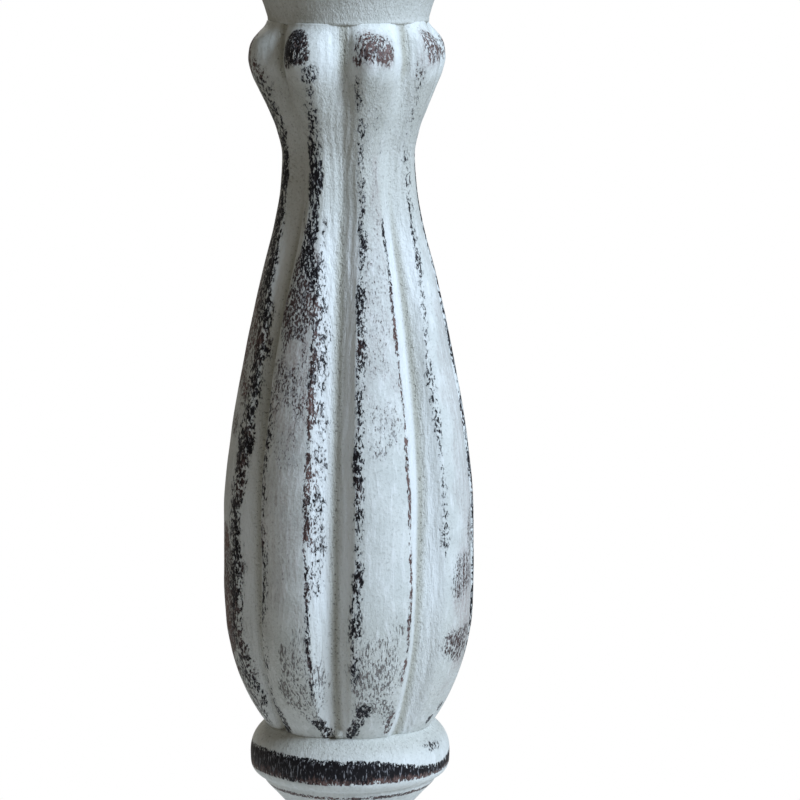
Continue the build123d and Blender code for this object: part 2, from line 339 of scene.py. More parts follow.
def lobe_layout(height):
    """Crest radii by row, and by lobe and row the angles in degrees of the left and right arrises and
    of the groove to the right."""
    crest = smooth_curve(CREST, height)
    half = 8.5 + 3.9 * (crest - NECK_R) / (BELLY_R - NECK_R)
    arrises = []
    for number in range(LOBES):
        if number in LOBE_EDGES:
            start = FRONT + (360 if number > LOBES // 2 else 0)
            left = smooth_curve([(level, angle) for level, angle, _ in LOBE_EDGES[number]], height)
            right = smooth_curve([(level, angle) for level, _, angle in LOBE_EDGES[number]], height)
            wander = 0.35 * np.sin(height / 9 + 2 * number) + 0.25 * np.sin(height / 4.3 + number)
            arrises.append((left + start + wander, right + start - 0.8 * np.roll(wander, 11)))
        else:
            middle = FRONT + FIRST_LOBE + number * PITCH + 0.6 * np.sin(0.021 * height + 2.3 * number)
            arrises.append((middle - half, middle + half))
    grooves = []
    for number in range(LOBES):
        if number in GROOVE_LINES:
            start = FRONT + (360 if number > LOBES // 2 else 0)
            grooves.append(smooth_curve(GROOVE_LINES[number], height) + start)
        else:
            following = arrises[(number + 1) % LOBES][0] + (360 if number == LOBES - 1 else 0)
            grooves.append(0.5 * (arrises[number][1] + following) + 0.6 * np.sin(0.027 * height + number))
    return crest, arrises, grooves


def carved_lobe(number, height, crest, edges):
    """Angles in degrees, radii and places of one lobe's points, from its left groove to its right one:
    flat-faced between sloping sides on the belly, and a rounded knuckle at the head."""
    left_groove, left, right, right_groove = edges
    angle = np.hstack([
        np.linspace(left_groove, left, SLOPE_COLUMNS, endpoint=False, axis=1),
        np.linspace(left, right, FACE_COLUMNS, endpoint=False, axis=1),
        np.linspace(right, right_groove, SLOPE_COLUMNS, endpoint=False, axis=1),
    ])
    left_groove, left, right, right_groove = [edge[:, None] for edge in edges]
    height, crest = height[:, None], crest[:, None]
    middle = 0.5 * (left + right)
    across = (angle - middle) / (0.5 * (right - left))

    near_end = np.minimum(1, 0.45 + np.minimum(height, HEIGHT - height) / 25)
    depth = GROOVE_DEPTH * crest * near_end * (1 - 0.42 * bell(height - 215, 11))
    up_left = np.clip((angle - left_groove) / (left - left_groove), 0, 1)
    up_right = np.clip((right_groove - angle) / (right_groove - right), 0, 1)
    up = np.minimum(up_left, up_right)
    arris_r = ARRIS_SHARE * crest
    face_r = crest - (crest - arris_r) * np.clip(np.abs(across), 0, 1) ** 2
    belly = np.where(np.abs(across) < 1, face_r, arris_r - depth * (1 - up ** 1.3))

    to_left = (middle - angle) / (middle - left_groove)
    to_right = (angle - middle) / (right_groove - middle)
    aside = np.clip(np.maximum(to_left, to_right), 0, 1)
    fall = PILLOW_DEPTH * crest * (0.25 + 0.75 * ramp_up(HEIGHT - height, 0, 8))
    pillow = crest - fall * (0.5 - 0.5 * np.cos(math.pi * aside ** 1.45))

    on_head = ramp_up(height, 216, 233)
    radius = belly + on_head * (pillow - belly) + PROUD_HEADS.get(number, 0) * bell(height - 238, 14)
    to_arris = np.minimum(angle - left, right - angle)
    to_groove = np.minimum(angle - left_groove, right_groove - angle)
    place = {
        "lobe": np.full(angle.shape, number), "across": across,
        "from_arris": np.radians(to_arris) * crest, "from_groove": np.radians(to_groove) * crest,
        "height": np.broadcast_to(height, angle.shape),
    }
    return angle, radius, place


def carved_side():
    """Angles in radians, radii and places of the carved side's points, by row. A place is the point's
    lobe, its position across it (-1 left arris, 1 right arris), its distance in from the nearer arris,
    its distance from the nearer groove, and its height."""
    t = np.linspace(0, 1, BODY_ROWS + 1)
    height = HEIGHT * (t - 0.35 / (2 * math.pi) * np.sin(2 * math.pi * t))
    crest, arrises, grooves = lobe_layout(height)
    lobes = []
    for number in range(LOBES):
        left_groove = grooves[number - 1] - (360 if number == 0 else 0)
        edges = (left_groove, *arrises[number], grooves[number])
        lobes.append(carved_lobe(number, height, crest, edges))
    angle = np.radians(np.hstack([lobe[0] for lobe in lobes]))
    radius = np.hstack([lobe[1] for lobe in lobes])
    place = {kind: np.hstack([lobe[2][kind] for lobe in lobes]) for kind in lobes[0][2]}
    radius = round_arrises(angle, radius, place)
    return angle, radius + paint_relief(angle, place), place


def round_arrises(angle, radius, place):
    """Eases the arrises: a little on the belly, and more on the neck and the head. The grooves keep
    their sharp bottoms."""
    height = place["height"][:, :1]
    sigma = 0.5 + 1.5 * ramp_up(height, 150, 195) - 0.5 * ramp_up(height, 205, 232)
    sigma = np.radians(sigma + 0.9 * bell(height, 12))
    width = (np.roll(angle, -1, axis=1) - np.roll(angle, 1, axis=1)) % (2 * math.pi)
    total = np.zeros_like(radius)
    weight = np.zeros_like(radius)
    for offset in range(-9, 10):
        away = (np.roll(angle, offset, axis=1) - angle + math.pi) % (2 * math.pi) - math.pi
        share = bell(away, 1.414 * sigma) * np.roll(width, offset, axis=1)
        total += share * np.roll(radius, offset, axis=1)
        weight += share
    eased = ramp_up(place["from_groove"], 0.2, 2.4)
    return radius + eased * (total / weight - radius)


def paint_relief(angle, place):
    """Thick paint on the carved side, as a length: brush ridges in the slopes, a bead outside each
    arris, a knot at the foot of one front groove, and a slow unevenness."""
    lobe, across, height = place["lobe"], place["across"], place["height"]
    from_arris, from_groove = place["from_arris"], place["from_groove"]
    wander = 2.2 * np.sin(height / 13 + lobe) + 1.3 * np.sin(height / 5.1)
    on_slope = ramp_up(-from_arris, 0.3, 2.0) * ramp_up(from_groove, 0.3, 2.0)
    ridges = 0.13 * on_slope * np.sin(2.4 * from_groove + wander)
    bead = 0.28 * bell(from_arris + 1.1, 0.8) * (1.0 + 0.5 * np.sin(height / 17 + 2.0 * lobe))
    bead = bead * (1 - ramp_up(height, 170, 205))
    at_front_groove = ((lobe == 7) & (across > 0)) | ((lobe == 0) & (across < 0))
    knot = 3.2 * bell(from_groove, 1.6) * bell(height - 1.8, 2.0) * at_front_groove
    return bead + knot + ridges + undulation(angle, height, 0.16, 5)


def patch(distance, reach):
    """1 near the middle of a worn patch, falling to 0 a little beyond its reach."""
    return 1 - ramp_up(np.abs(distance), 0.5 * reach, 1.3 * reach)


def worn_spot(place, level, tall, side, wide):
    """Worn patch with a ragged outline, at a height and a position across the lobe."""
    height, across = place["height"], place["across"]
    away = (np.abs(height - level) / tall) ** 3 + (np.abs(across - side) / wide) ** 3
    ragged = 0.15 * np.sin(height / 2.7 + 3 * across + level)
    ragged = ragged + 0.15 * np.sin(height / 6.1 - 4 * across + place["lobe"])
    return patch(away ** (1 / 3) + ragged * min(1, 0.3 + tall / 40), 1)


def random_wear(place, rng):
    """Wear of a lobe behind: strength of each kind at every point."""
    height, across = place["height"], place["across"]
    head, neck, belly, level = rng.uniform((0.5, 0.5, 0.5, 50), (1.3, 0.95, 0.8, 150))
    tall, side, wide = rng.uniform((5, -0.5, 0.8), (7, 0.5, 1.3))
    head_spot = head * worn_spot(place, HEAD_Z, tall, side, wide)
    return {
        "rub": head_spot + belly * worn_spot(place, level, 48, side, 1.0),
        "chip": neck * worn_spot(place, 187, 28, 0.3 * side, 0.8),
        "haze": 0.6 * patch(height - level + 30, 60) * patch(across, 1.0),
        "hatch": 0.75 * patch(height - 24, 20) * patch(across, 1.2),
    }


def arris_wear(place, line, scatter, low, high, rng):
    """Wear along an arris: a thin line, and flecks scattered just inside it."""
    height = place["height"]
    phase = rng.uniform(0, 2 * math.pi, 2)
    clumps = 1 + 0.22 * np.sin(height / 8 + phase[0]) + 0.18 * np.sin(height / 3 + phase[1])
    span = ramp_up(height, low - 8, low + 8) * (1 - ramp_up(height, high - 10, high + 10))
    reach = 1.2 + 1.4 * smooth_curve(CREST, height) / BELLY_R
    near = line * bell(place["from_arris"], 0.75) + scatter * bell(place["from_arris"] - 0.8, reach)
    return span * clumps * near


def bare_wood_tone(place):
    """How black the bare wood is, from about 0 for red-brown to 1."""
    lobe, across, height = place["lobe"], place["across"], place["height"]
    below_neck = height < 190
    at_right = patch(across - 1, 0.4)
    tone = 0.60 + 0.35 * patch(height - 190, 35) - 0.25 * patch(height - 240, 10)
    tone = tone - 0.30 * (lobe == 0) * at_right * below_neck
    tone = tone - 0.20 * (lobe == 7) * at_right * patch(height - 110, 55)
    tone = tone - 0.33 * (lobe == 6) * patch(across + 0.6, 1.0) * below_neck
    return tone + 0.4 * (lobe == 7) * patch(height - 240, 12)


def carved_wear(place):
    """Marks for the paint material: hard flecks (chip), rubbed-through paint (rub), thin paint (haze),
    hatching, the bare wood's tone (dark), darker paint (part grime and part painted shade along the
    grooves, painted shade on the neck and flare under the knuckles, darker low on the body) and thick
    brushed paint on the slopes (ridges)."""
    lobe, across, height = place["lobe"], place["across"], place["height"]
    amount = {kind: np.zeros(height.shape) for kind in ("chip", "rub", "haze", "hatch", "whole")}
    for number, wear_marks in WEAR_MARKS.items():
        for kind, level, tall, side, wide, strength in wear_marks:
            worn = strength * (lobe == number) * worn_spot(place, level, tall, side, wide)
            amount[kind] = np.maximum(amount[kind], worn)
    rng = np.random.default_rng(8)
    for number in range(LOBES):
        if number not in WEAR_MARKS:
            for kind, worn in random_wear(place, rng).items():
                amount[kind] += (lobe == number) * worn
        for side, arris in zip((-1, 1), ARRIS_WEAR.get(number, PLAIN_ARRIS)):
            amount["chip"] += (lobe == number) * (across * side > 0) * arris_wear(place, *arris, rng)
    left = 1 - amount["whole"]
    # Darker paint: part grime, part painted shade along the grooves; painted shade on the neck and flare
    # under the knuckles; darker low on the body.
    above_belly = ramp_up(height, 165, 195)
    flare = above_belly * (1 - ramp_up(height, 227, 236))
    low_end = ramp_up(height, 2, 14) * (1 - ramp_up(height, 35, 60))
    dirt_and_painted_shade = np.maximum(bell(place["from_groove"], 2.2) * (1 - 0.5 * flare), 0.45 * flare)
    return {
        "chip": np.clip(amount["chip"], 0, 1.3) * left, "rub": amount["rub"] * left,
        "haze": amount["haze"], "hatch": amount["hatch"], "dark": bare_wood_tone(place),
        "dirt_and_painted_shade": np.maximum(dirt_and_painted_shade, 0.30 * low_end),
        "ridges": ramp_up(np.abs(across), 0.9, 1.3) * (1 - 0.6 * above_belly),
    }


def carved_baluster():
    """Carved side with the dowel sockets in its ends."""
    angle, radius, place = carved_side()
    side = around_axis(radius, angle, BALUSTER_Z + place["height"])
    low = [around_axis(LOW_SOCKET_R, angle[0], BALUSTER_Z + depth) for depth in (LOW_SOCKET_DEPTH, 0)]
    top = [around_axis(TOP_SOCKET_R, angle[-1], BALUSTER_TOP - depth) for depth in (0, TOP_SOCKET_DEPTH)]
    marks = {}
    for name, values in carved_wear(place).items():
        marks[name] = np.pad(values, ((len(low), len(top)), (0, 0)), mode="edge")
    return skin("carved_baluster", np.concatenate([low, side, top]), marks=marks)


# ---- turned pieces ----

def turned_piece(outside, before=(), after=(), around=288, step=0.8, rounding=0.6, uneven=0.12, seed=1,
                 wear=0.8):
    """Rings of a lathe-turned piece, how chipped each point is, and its angle, radius and height. The
    seen outside is finely stepped, and the hidden stretches before and after it, such as a bore or a
    tenon, are plain."""
    seen = even_steps(outside, step, rounding)
    angle = full_turn(around)
    height = np.repeat(seen[:, 1:], around, axis=1)
    radius = seen[:, :1] + undulation(angle, height, uneven, seed)
    hidden = [np.array(stretch, float).reshape(-1, 2) for stretch in (before, after)]
    low_r, high_r = [np.repeat(stretch[:, :1], around, axis=1) for stretch in hidden]
    low_z, high_z = [np.repeat(stretch[:, 1:], around, axis=1) for stretch in hidden]
    all_r = np.vstack([low_r, radius, high_r])
    all_z = np.vstack([low_z, height, high_z])
    worn = np.pad(wear * edge_wear(seen, 1.3), (len(low_r), len(high_r)))
    chip = worn[:, None] * (0.75 + undulation(angle, all_z, 0.35, seed + 40))
    place = {"angle": np.broadcast_to(angle, all_r.shape), "r": all_r, "z": all_z}
    return around_axis(all_r, angle, all_z), chip, place


def finish_turned(name, rings, chip, rub=0.0, dark=0.55, dirt_and_painted_shade=0.0, closed=False):
    """Mesh of a turned piece with its marks, each an amount by point or one amount all over."""
    marks = {
        "chip": np.maximum(0, chip), "rub": rub, "haze": 0.0, "hatch": 0.0, "dark": dark, "dirt_and_painted_shade": dirt_and_painted_shade,
        "ridges": 0.25,
    }
    by_point = {mark: np.broadcast_to(amount, chip.shape) for mark, amount in marks.items()}
    return skin(name, rings, closed=closed, marks=by_point)


def pedestal_outline():
    """From the foot up: flared base, bead, waist, groove and the collar under the carved body."""
    z = BALUSTER_Z
    outside = [(42.6, FOOT_TOP + 0.05)]
    outside += flow((43, FOOT_TOP + 0.6), (43, FOOT_TOP + 2.4), steps=2)
    outside += flow((43, 38), (37, 39.6), (33.2, 43), (32, BEAD_Z - 4.5))
    outside += [(32, BEAD_Z - 4.5), (33, BEAD_Z - 4.5)]
    outside += arc((33, BEAD_Z - 4.5), (37.5, BEAD_Z), (33, BEAD_Z + 4.5), steps=20)
    outside += [(33, BEAD_Z + 4.5), (30, BEAD_Z + 4.5), (30, 58)]
    outside += flow(
        (30, 58), (23.5, 62), (18.8, 69), (17.6, 77), (20, z - 33), (25.2, z - 26.5), (30.6, z - 20.7),
    )
    outside += [(30.6, z - 20.7), (30.8, z - 18.9), (32.5, z - 18.4)]
    outside += arc((32.5, z - 18.4), (34.8, z - 16.5), (35.6, z - 13.7))
    outside += flow((35.6, z - 13.7), (35.7, z - 11.2), (35.6, z - 8.7), steps=3)
    outside += arc((35.6, z - 8.7), (33.9, z - 3.9), (29.9, z), steps=16)
    return outside + [(29.9, z + 0.15)]


def turned_pedestal():
    """Pedestal with a tenon below, a dowel socket above, and a band worn bare round its collar."""
    tenon = [
        (PILOT_R, 53.3), (PILOT_R, TENON_END), (TENON_R - 1, TENON_END), (TENON_R, TENON_END + 1),
        (TENON_R, FOOT_TOP),
    ]
    socket = [(LOW_SOCKET_R, BALUSTER_Z), (LOW_SOCKET_R, BALUSTER_Z - LOW_SOCKET_DEPTH)]
    rings, chip, place = turned_piece(
        pedestal_outline(), tenon, socket, uneven=0.14, seed=11, step=0.7, rounding=0.5, wear=0.75,
    )
    angle, height = place["angle"], place["z"]
    turn = angle - math.radians(FRONT)
    narrowing = 2.5 * bell(np.sin(0.5 * (turn - 1.1)), 0.35)
    from_band = height - (BAND_Z - narrowing + 0.3 * np.sin(5 * turn))
    reach = 4.0 - 0.3 * np.sin(turn) ** 2 - narrowing
    band = 9.0 * (1 - ramp_up(np.abs(from_band), reach - 3.5, reach + 1.5))
    line = 2.0 * bell(height - (BALUSTER_Z - 21.3), 0.45)
    clean = 0.9 * bell(height - (BALUSTER_Z - 16), 2.5)
    flecks = 0.40 * bell(height - (BALUSTER_Z - 5), 2) * bell(np.sin(0.5 * (turn - 1.05)), 0.12)
    on_outside = place["r"] > TENON_R + 5
    on_bead = bell(height - BEAD_Z, 3.2) * (place["r"] > 34)
    return finish_turned(
        "turned_pedestal", rings, chip + (band + line + flecks - clean) * on_outside,
        rub=0.9 * on_bead * (0.7 + 0.3 * np.sin(2 * angle + 1)),
        dark=0.78 + 0.35 * np.clip(from_band / reach, -1, 1),
        # Painted shade, with some grime, on the collar's top where the carved body sits on it.
        dirt_and_painted_shade=0.5 * bell(height - (BALUSTER_Z - 2), 4),
    )


def turned_foot():
    """Foot with a mortise above, and a hole and a counterbore for the screw below."""
    z = FOOT_Z
    outside = [(60, z), (71.4, z)]
    outside += arc((72, z), (75, z + 7), (72, z + 14), steps=24)
    outside += [(72, z + 14), (70, z + 14), (70, z + 16.5)]
    outside += flow((70, z + 16.5), (64.5, z + 17.9), (60, z + 22), (56, z + 27.5), (50.5, z + 31))
    outside += [(50.5, z + 31), (47.5, z + 31), (47.5, FOOT_TOP), (44, FOOT_TOP)]
    counterbore = [(CLEARANCE_R, z + 13), (CLEARANCE_R, z + 7), (10.5, z + 7), (10.5, z)]
    mortise = [(MORTISE_R, FOOT_TOP), (MORTISE_R, MORTISE_END), (CLEARANCE_R, MORTISE_END)]
    rings, chip, place = turned_piece(
        outside, counterbore, mortise, around=360, uneven=0.16, seed=23, step=0.9, rounding=0.6, wear=0.8,
    )
    on_edge = bell(place["z"] - (z + 7), 4.5) * (place["r"] > 73)
    rub = 0.75 * on_edge * (0.6 + 0.4 * np.sin(3 * place["angle"] + 0.5))
    return finish_turned("turned_foot", rings, chip, rub=rub, closed=True)


def turned_cup():
    """Flared cup whose lower edge runs into wavy thick paint, with a socket below and a pilot hole."""
    z = BALUSTER_TOP
    outside = [(27.0, z - 0.8), (27.9, z - 0.6), (28.2, z + 0.1)]
    outside += flow((28.1, z + 1), (30.1, z + 7), (34.4, z + 15.5), (41, z + 24), (48.5, z + 31))
    outside += [(48.5, z + 31), (50.5, z + 31)]
    outside += arc((50.5, z + 31), (54, z + 34.5), (50.5, z + 38), steps=20)
    outside += [(50.5, z + 38), (49, z + 38), (49, CUP_TOP), (47, CUP_TOP)]
    socket = [(TOP_SOCKET_R, z + TOP_SOCKET_DEPTH), (TOP_SOCKET_R, z)]
    pilot_hole = [(PILOT_R, CUP_TOP), (PILOT_R, TRAY_Z - 32.2)]
    rings, chip, place = turned_piece(
        outside, socket, pilot_hole, uneven=0.12, seed=31, step=0.5, rounding=0.4, wear=0.6,
    )
    angle, above_seam = place["angle"], place["z"] - z
    wave = np.sin(11 * angle + 2 * np.sin(3 * angle)) + 0.6 * np.sin(23 * angle)
    rings[:, :, 2] += 0.25 * bell(above_seam, 0.9) * (place["r"] > 20) * wave
    return finish_turned("turned_cup", rings, chip - 1.2 * bell(above_seam, 3), dirt_and_painted_shade=0.4)


def turned_pan():
    """Dish with a recess for the tray, and a hole for the spike's rod."""
    z = CUP_TOP
    outside = [(50, z), (51.6, z), (52, z + 0.4), (52, z + 1.5)]
    outside += flow((52, z + 1.5), (54.8, z + 2.6), (56, z + 5.5), (56.4, z + 8))
    outside += [(56.4, z + 8), (57, z + 8)]
    outside += arc((57, z + 8), (59, z + 12.5), (57, z + 17), steps=16)
    outside += arc((57, z + 17), (54.5, PAN_TOP), (52, z + 17))
    outside += [(52, z + 17), (50.6, z + 16.2), (50.5, TRAY_Z + 0.3), (50.2, TRAY_Z)]
    rings, chip, _ = turned_piece(
        outside, [(CLEARANCE_R, z)], [(CLEARANCE_R, TRAY_Z)], around=320, uneven=0.1, seed=47, step=0.7,
        rounding=0.5, wear=0.8,
    )
    return finish_turned("turned_pan", rings, chip, closed=True)


def pressed_tray():
    """Dished steel liner with a rolled lip and two shallow pressed rings in its floor."""
    low, thick = TRAY_Z, 0.8
    lip = low + 6.8
    lower = [(CLEARANCE_R, low), (18, low), (20, low), (44, low)]
    lower += arc((48.1, low), (49.5, low + 0.6), (50.1, low + 2), steps=8)
    lower += [(50.1, low + 2), (50.1, lip - 0.4)]
    lower += arc((50.1, lip - 0.4), (49.7, lip), (49.3, lip - 0.4), steps=8)
    upper = arc((49.3, low + 2), (48.95, low + 1.15), (48.1, low + thick), steps=8)
    upper += [(48.1, low + thick), (45, low + thick)]
    for ring in (40.5, 13.0):
        upper += arc((ring + 1.6, low + thick), (ring, low + thick + 0.3), (ring - 1.6, low + thick), steps=8)
        upper += [(ring - 1.6, low + thick)]
    upper += [(CLEARANCE_R, low + thick)]
    outline = np.array(lower + upper)
    angle = full_turn(256)
    radius, height = outline[:, :1], outline[:, 1:]
    height = height + 0.05 * np.sin(3 * angle) * (radius > 49)
    return skin("pressed_tray", around_axis(radius, angle, height), closed=True)


def forged_spike():
    """Spike with a filed point, a shoulder flange and a plain rod into the cup."""
    floor = TRAY_Z + 0.8
    rod = [(0.4, SPIKE_LOW), (2.5, SPIKE_LOW + 4), (2.5, floor)]
    flange = [(7.6, floor), (8, floor + 0.3), (8, floor + 1.0), (7.5, floor + 1.5), (3.6, floor + 1.5)]
    shank = [(3.0, floor + 2.0), (3.0, floor + 8), (3.0, floor + 16.7)]
    point = flow((3.0, floor + 16.7), (2.1, floor + 25), (1.0, floor + 34), (0.35, SPIKE_TIP))
    outline = even_steps(rod + flange + shank + point + [(0.3, SPIKE_TIP - 0.02)], 0.25, 0.2)
    angle = full_turn(64)
    radius, height = outline[:, :1], outline[:, 1:]
    radius = radius + 0.06 * np.sin(4 * angle + 0.3 * height) * (radius > 0.6)
    return skin("forged_spike", around_axis(radius, angle, height))


# ---- materials ----

class Shader:
    """A material's node tree, with short calls for the nodes used here."""

    def __init__(self, name, roughness, specular=0.4, metallic=0.0):
        self.material = bpy.data.materials.new(name)
        self.material.use_nodes = True
        self.tree = self.material.node_tree
        self.bsdf = self.tree.nodes["Principled BSDF"]
        self.bsdf.inputs["Roughness"].default_value = roughness
        self.bsdf.inputs["Specular IOR Level"].default_value = specular
        self.bsdf.inputs["Metallic"].default_value = metallic
        self.coordinates = self.tree.nodes.new("ShaderNodeTexCoord").outputs["Object"]

    def put(self, socket, value):
        if isinstance(value, (int, float, tuple)):
            socket.default_value = value
        else:
            self.tree.links.new(value, socket)

    def stretched(self, scale, turn=(0, 0, 0)):
        node = self.tree.nodes.new("ShaderNodeMapping")
        node.inputs["Scale"].default_value = scale
        node.inputs["Rotation"].default_value = [math.radians(a) for a in turn]
        self.put(node.inputs["Vector"], self.coordinates)
        return node.outputs["Vector"]

    def noise(self, vector, size, detail=3.0, roughness=0.6, distortion=0.0):
        """Noise with features of about the given size in millimetres."""
        node = self.tree.nodes.new("ShaderNodeTexNoise")
        self.put(node.inputs["Vector"], vector)
        node.inputs["Scale"].default_value = 1 / (size * MM)
        node.inputs["Detail"].default_value = detail
        node.inputs["Roughness"].default_value = roughness
        node.inputs["Distortion"].default_value = distortion
        return node.outputs["Fac"]

    def mark(self, name):
        """Amount of one of the marks that the mesh carries."""
        node = self.tree.nodes.new("ShaderNodeAttribute")
        node.attribute_name = name
        return node.outputs["Fac"]

    def maths(self, operation, first, second=0.0, third=0.0):
        node = self.tree.nodes.new("ShaderNodeMath")
        node.operation = operation
        for socket, value in zip(node.inputs, (first, second, third)):
            self.put(socket, value)
        return node.outputs["Value"]

    def about(self, value, amount):
        """A noise's swing about its middle, times an amount."""
        return self.maths("MULTIPLY_ADD", value, amount, -0.5 * amount)

    def total(self, *values):
        result = values[0]
        for value in values[1:]:
            result = self.maths("ADD", result, value)
        return result

    def step(self, value, low, high):
        """0 below low and 1 above high, with a smooth rise between."""
        node = self.tree.nodes.new("ShaderNodeMapRange")
        node.interpolation_type = "SMOOTHSTEP"
        self.put(node.inputs["Value"], value)
        node.inputs["From Min"].default_value = low
        node.inputs["From Max"].default_value = high
        return node.outputs["Result"]

    def mix(self, factor, first, second):
        node = self.tree.nodes.new("ShaderNodeMix")
        node.data_type = "RGBA"
        self.put(node.inputs["Factor"], factor)
        self.put(node.inputs[6], first if not isinstance(first, tuple) else (*first, 1.0))
        self.put(node.inputs[7], second if not isinstance(second, tuple) else (*second, 1.0))
        return node.outputs[2]

    def done(self, colour, roughness, height, depth):
        """Colour, roughness, and a bump whose full height is the depth in millimetres."""
        self.put(self.bsdf.inputs["Base Color"], colour)
        self.put(self.bsdf.inputs["Roughness"], roughness)
        bump = self.tree.nodes.new("ShaderNodeBump")
        bump.inputs["Strength"].default_value = 1.0
        bump.inputs["Distance"].default_value = depth * MM
        self.put(bump.inputs["Height"], height)
        self.put(self.bsdf.inputs["Normal"], bump.outputs["Normal"])
        return self.material


def paint_noises(s):
    """Noises that the worn paint's colour, wear and relief share."""
    tall = s.stretched((1, 1, 0.5))
    return SimpleNamespace(
        speckle=s.noise(tall, 0.55),
        fleck=s.noise(tall, 1.05, distortion=0.5),
        flake=s.noise(tall, 4.0, detail=2),
        cloud=s.noise(s.coordinates, 14),
        grain=s.noise(s.stretched((1, 1, 0.06)), 1.0),
        brush=s.noise(s.stretched((1, 1, 0.2)), 1.8, detail=4, roughness=0.55),
        grit=s.noise(s.coordinates, 1.1, detail=4),
    )


def bare_places(s, noises):
    """Where the paint is chipped off, rubbed through and scratched in hatches, each from 0 to 1."""
    flecks = s.total(
        1.0, s.about(noises.fleck, 6.5), s.about(noises.speckle, 4.5), s.about(noises.flake, 2.0),
    )
    solid = s.maths("MAXIMUM", s.maths("MULTIPLY_ADD", s.mark("chip"), 2.3, -6.0), 0.0)
    chipped = s.step(s.total(s.maths("MULTIPLY", s.mark("chip"), flecks), solid), 0.42, 0.86)
    specks = s.total(
        1.0, s.about(noises.speckle, 6.0), s.about(noises.fleck, 3.0), s.about(noises.grain, 2.5),
    )
    rubbed = s.step(s.maths("MULTIPLY", s.mark("rub"), specks), 0.40, 0.90)
    scratch = s.noise(s.stretched((1, 1, 0.25), turn=(0, 38, 0)), 0.6, roughness=0.65)
    strokes = s.total(1.0, s.about(scratch, 8.0), s.about(noises.flake, 3.0))
    hatched = s.step(s.maths("MULTIPLY", s.mark("hatch"), strokes), 0.70, 1.15)
    return chipped, rubbed, hatched


def paint_coat(s, noises):
    """Colour of whole paint: clouded, gritty and brushed, thick on the slopes, and darker and pitted
    where the marks give grime and painted shade.
    """
    paint = s.mix(s.step(noises.cloud, 0.35, 0.65), (0.71, 0.725, 0.69), (0.63, 0.65, 0.615))
    paint = s.mix(s.step(noises.grit, 0.50, 0.75), paint, (0.50, 0.51, 0.48))
    paint = s.mix(s.step(noises.brush, 0.50, 0.72), paint, (0.78, 0.795, 0.77))
    paint = s.mix(s.maths("MULTIPLY", s.mark("ridges"), 0.75), paint, (0.84, 0.86, 0.85))
    # Olive-grey darkening, part grime and part painted shade, then dark pits in the same places.
    paint = s.mix(s.maths("MULTIPLY", s.mark("dirt_and_painted_shade"), 0.80), paint, (0.45, 0.435, 0.355))
    pits = s.step(s.noise(s.coordinates, 0.9, detail=2), 0.56, 0.70)
    return s.mix(s.maths("MULTIPLY", s.mark("dirt_and_painted_shade"), pits), paint, (0.22, 0.21, 0.18))


def worn_thin(s, noises, paint):
    """Paint's colour with thin brownish places, and grey smudges round the chips and rubbed places."""
    swing = s.total(0.6, s.about(noises.grain, 1.6), s.about(noises.speckle, 1.6))
    thin = s.step(s.maths("MULTIPLY", s.mark("haze"), swing), 0.0, 0.9)
    swing = s.total(
        0.35, s.about(noises.flake, 1.6), s.about(noises.fleck, 1.6), s.about(noises.speckle, 1.2),
    )
    smudge = s.maths("MULTIPLY", s.maths("MAXIMUM", s.mark("chip"), s.mark("rub")), swing)
    smudge = s.maths("MULTIPLY", s.step(smudge, 0.0, 0.6), 0.6)
    colour = s.mix(s.maths("MULTIPLY", thin, 0.65), paint, (0.30, 0.21, 0.195))
    return s.mix(smudge, colour, (0.27, 0.26, 0.27))


def bare_wood(s, noises):
    """Colours of the bare wood: red-brown grain, and near black with lighter ticks."""
    brown = s.mix(s.step(noises.grain, 0.38, 0.62), (0.060, 0.032, 0.026), (0.20, 0.125, 0.11))
    black = s.mix(noises.speckle, (0.002, 0.002, 0.003), (0.014, 0.012, 0.015))
    ticks = s.step(s.noise(s.stretched((1, 1, 0.22)), 0.55, detail=2), 0.56, 0.68)
    return brown, s.mix(s.maths("MULTIPLY", ticks, 0.75), black, (0.33, 0.33, 0.35))


def worn_paint():
    """Off-white paint, brushed on thick, chipped and rubbed through to dark and red-brown wood."""
    s = Shader("worn_paint", 0.6, specular=0.22)
    noises = paint_noises(s)
    chipped, rubbed, hatched = bare_places(s, noises)
    brown, black = bare_wood(s, noises)
    tone = s.step(s.total(s.mark("dark"), s.about(noises.cloud, 0.8), s.about(noises.fleck, 0.8)), 0.35, 0.65)
    colour = worn_thin(s, noises, paint_coat(s, noises))
    colour = s.mix(rubbed, colour, s.mix(s.maths("MULTIPLY", tone, 0.6), brown, black))
    colour = s.mix(s.maths("MULTIPLY", hatched, 0.75), colour, s.mix(0.5, black, brown))
    colour = s.mix(chipped, colour, s.mix(tone, brown, black))

    bare = s.maths("MAXIMUM", chipped, s.maths("MAXIMUM", rubbed, hatched))
    roughness = s.total(0.50, s.maths("MULTIPLY", bare, -0.12), s.about(noises.grit, 0.2))
    strength = s.maths("MULTIPLY_ADD", s.mark("ridges"), 2.0, 1.0)
    brushed = s.maths("MULTIPLY", s.about(noises.brush, 1.0), strength)
    pitted = s.maths("MULTIPLY", s.mark("dirt_and_painted_shade"), s.about(noises.speckle, 3.0))
    height = s.total(s.maths("MULTIPLY", bare, -0.9), brushed, s.about(noises.grit, 0.9), pitted)
    return s.done(colour, roughness, height, 0.28)


def bare_beech():
    """Turned hardwood dowel with a straight grain and small flecks."""
    s = Shader("bare_beech", 0.6)
    grain = s.noise(s.stretched((1, 1, 0.05)), 0.9, detail=4)
    fleck = s.noise(s.stretched((1, 1, 0.3)), 0.6, detail=2)
    colour = s.mix(grain, (0.62, 0.43, 0.26), (0.42, 0.26, 0.14))
    colour = s.mix(s.step(fleck, 0.62, 0.72), colour, (0.27, 0.15, 0.08))
    return s.done(colour, s.total(0.55, s.about(grain, 0.2)), grain, 0.08)


